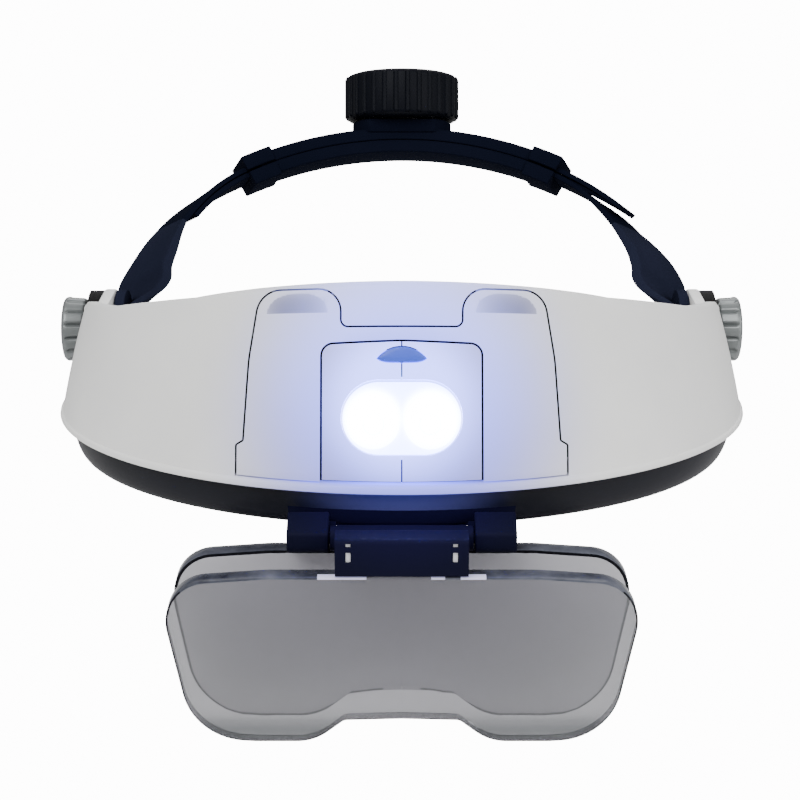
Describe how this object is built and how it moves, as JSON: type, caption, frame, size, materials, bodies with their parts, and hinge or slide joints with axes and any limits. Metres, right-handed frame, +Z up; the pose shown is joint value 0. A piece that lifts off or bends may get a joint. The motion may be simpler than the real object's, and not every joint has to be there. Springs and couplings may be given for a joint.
{
  "type": "headband magnifier",
  "caption": "Lighted headband magnifier: moulded visor with tilting lamp, flip-up holder with clip-in lens plates, and a headband drawn tight by a rack-and-pinion knob.",
  "frame": {"origin": "middle of the temple pivot axis, between the wearer's temples", "axes": "+X across to the side, +Y towards the back of the head, +Z up; the face of the visor looks along -Y and the headband stands raised at the back"},
  "size_m": [0.203, 0.1783, 0.1523],
  "materials": {
    "shell_grey": "satin moulded plastic",
    "shell_navy": "smooth navy plastic",
    "liner_navy": "matt navy plastic",
    "foam": "fabric-faced soft foam",
    "tray_black": "matt black plastic",
    "cell_jacket": "printed metal jacket, left plain",
    "contact_metal": "spring steel",
    "cover_grey": "satin moulded plastic",
    "screw_steel": "zinc-plated steel",
    "lamp_grey": "satin moulded plastic",
    "window_clear": "clear plastic",
    "reflector_chrome": "bright metallised plastic",
    "board_green": "solder-masked laminate",
    "led_lens": "clear epoxy",
    "switch_black": "moulded plastic",
    "button_blue": "blue plastic",
    "pivot_steel": "steel",
    "holder_navy": "smooth navy plastic",
    "clip_white": "pale springy plastic",
    "lens_clear": "clear acrylic seen against grey",
    "rubber_black": "matt rubber",
    "bolt_steel": "plated steel",
    "thumb_grey": "light grey plastic",
    "band_navy": "matt near-black navy plastic",
    "knob_black": "matt ribbed plastic",
    "pinion_nylon": "natural nylon"
  },
  "bodies": {
    "visor": {"upper_shell": "shell_grey", "lower_shell": "shell_navy", "inner_liner": "liner_navy", "forehead_pad": "foam", "battery_tray": "tray_black", "battery_cells": "cell_jacket", "battery_contacts": "contact_metal", "shell_screws": "screw_steel", "hinge_pin": "pivot_steel", "spacer_left": "rubber_black", "spacer_right": "rubber_black", "bolt_left": "bolt_steel", "bolt_right": "bolt_steel"},
    "battery_door": {"battery_cover": "cover_grey"},
    "lamp": {"lamp_half_left": "lamp_grey", "lamp_half_right": "lamp_grey", "lamp_window": "window_clear", "reflector": "reflector_chrome", "led_board": "board_green", "leds": "led_lens", "lamp_switch": "switch_black", "lamp_pivots": "pivot_steel"},
    "lamp_key": {"lamp_button": "button_blue"},
    "lens_carrier": {"lens_holder": "holder_navy", "clip_springs": "clip_white"},
    "front_plate": {"front_lens": "lens_clear"},
    "rear_plate": {"rear_lens": "lens_clear"},
    "left_thumb": {"thumb_left": "thumb_grey"},
    "right_thumb": {"thumb_right": "thumb_grey"},
    "headband": {"arm_left": "band_navy", "arm_right": "band_navy", "rack_left": "band_navy", "rack_right": "band_navy"},
    "rear_housing": {"rear_base": "band_navy", "rear_cover": "band_navy", "click_spring": "contact_metal"},
    "size_dial": {"size_knob": "knob_black", "pinion": "pinion_nylon"}
  },
  "joints": [
    {"name": "cover_off", "type": "slide", "parent": "visor", "child": "battery_door", "axis": [0, -0.9168, 0.3994], "range_m": [0, 0.02]},
    {"name": "lamp_tilt", "type": "hinge", "parent": "visor", "child": "lamp", "pos_m": [0, -0.07805, 0.00151], "axis": [1, 0, 0], "range_deg": [0, 18]},
    {"name": "button_press", "type": "slide", "parent": "lamp", "child": "lamp_key", "axis": [0, 0.9168, -0.3994], "range_m": [0, 0.0008], "stiffness_N_per_m": 600},
    {"name": "lens_flip", "type": "hinge", "parent": "visor", "child": "lens_carrier", "pos_m": [0, -0.095, -0.0265], "axis": [1, 0, 0], "range_deg": [-70, 0]},
    {"name": "front_plate_out", "type": "slide", "parent": "lens_carrier", "child": "front_plate", "axis": [0, 0, -1], "range_m": [0, 0.012]},
    {"name": "rear_plate_out", "type": "slide", "parent": "lens_carrier", "child": "rear_plate", "axis": [0, 0, -1], "range_m": [0, 0.012]},
    {"name": "left_thumb_turn", "type": "hinge", "parent": "visor", "child": "left_thumb", "pos_m": [-0.098, 0, 0], "axis": [-1, 0, 0], "range_deg": [0, 360]},
    {"name": "right_thumb_turn", "type": "hinge", "parent": "visor", "child": "right_thumb", "pos_m": [0.098, 0, 0], "axis": [1, 0, 0], "range_deg": [0, 360]},
    {"name": "band_tilt", "type": "hinge", "parent": "visor", "child": "headband", "pos_m": [0, 0, 0], "axis": [1, 0, 0], "range_deg": [-60, 20]},
    {"name": "band_size", "type": "slide", "parent": "headband", "child": "rear_housing", "axis": [0, 0.7071, 0.7071], "range_m": [0, 0.04], "deforming": ["rack_left", "rack_right"]},
    {"name": "dial_turn", "type": "hinge", "parent": "rear_housing", "child": "size_dial", "pos_m": [0, 0.04632, 0.04632], "axis": [0, 0.342, 0.9397], "range_deg": [0, 366]}
  ],
  "couplings": [
    {"joint": "dial_turn", "follows": "band_size", "rad_per_m": 159}
  ]
}
